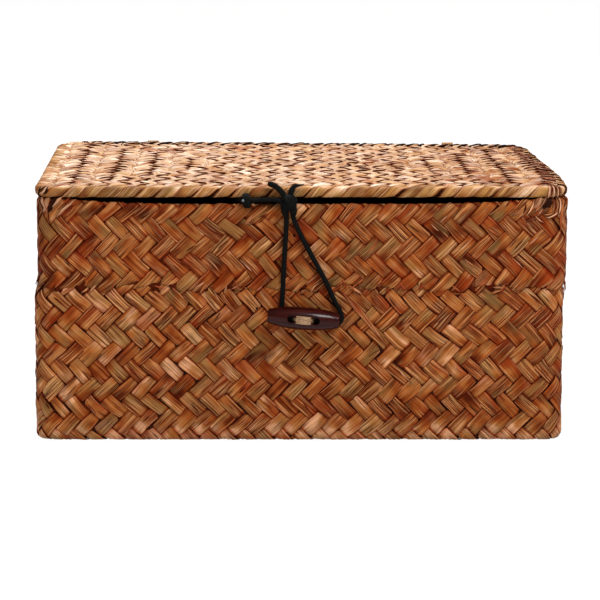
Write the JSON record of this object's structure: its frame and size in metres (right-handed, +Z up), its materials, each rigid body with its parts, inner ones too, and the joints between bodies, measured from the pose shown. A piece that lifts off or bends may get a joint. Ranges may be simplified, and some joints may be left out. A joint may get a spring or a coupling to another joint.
{
  "type": "woven lidded box",
  "caption": "Rectangular plaited grass box with a flat lid tied on at the back and an elastic loop on the lid that hooks over a wooden toggle on the front.",
  "frame": {"origin": "on the floor under the middle of the box's plan outline", "axes": "+X to the right along the long side, -Y out of the front with the toggle, +Z up"},
  "size_m": [0.3, 0.2257, 0.1508],
  "materials": {
    "wall_grass": "flattened dried grass strips, warm brown, satin",
    "rim_grass": "flattened dried grass strips, warm brown, satin",
    "lid_grass": "flattened dried grass strips, pale straw, satin",
    "fold_grass": "folded dried grass strips, straw brown, satin",
    "tie_cord": "twisted grass cord, matt",
    "elastic_cord": "braided black elastic cord, matt",
    "dark_wood": "dark red-brown wood, polished",
    "raffia": "natural raffia, matt"
  },
  "bodies": {
    "box": {"basket_body": "wall_grass", "rim_turned_layer": "rim_grass", "hinge_tie_left": "tie_cord", "hinge_tie_right": "tie_cord", "toggle_shank": "raffia"},
    "lid": {"lid_upper_mat": "lid_grass", "lid_under_mat": "wall_grass", "lid_edge_fold": "fold_grass", "closure_knot": "elastic_cord", "closure_hitch": "elastic_cord", "closure_lead": "elastic_cord", "closure_tail_left": "elastic_cord", "closure_tail_right": "elastic_cord"},
    "loop": {"closure_loop": "elastic_cord"},
    "toggle": {"toggle": "dark_wood", "toggle_stitch": "raffia"}
  },
  "joints": [
    {"name": "lid_hinge", "type": "hinge", "parent": "box", "child": "lid", "pos_m": [0, 0.1004, 0.141], "axis": [-1, 0, 0], "range_deg": [0, 180]},
    {"name": "loop_swing", "type": "hinge", "parent": "lid", "child": "loop", "pos_m": [-0.0062, -0.1048, 0.1389], "axis": [-1, 0, 0], "range_deg": [0, 130], "deforming": ["closure_loop"]},
    {"name": "toggle_turn", "type": "hinge", "parent": "box", "child": "toggle", "pos_m": [0.002, -0.1094, 0.0735], "axis": [0, -1, 0], "range_deg": [-90, 90]}
  ]
}
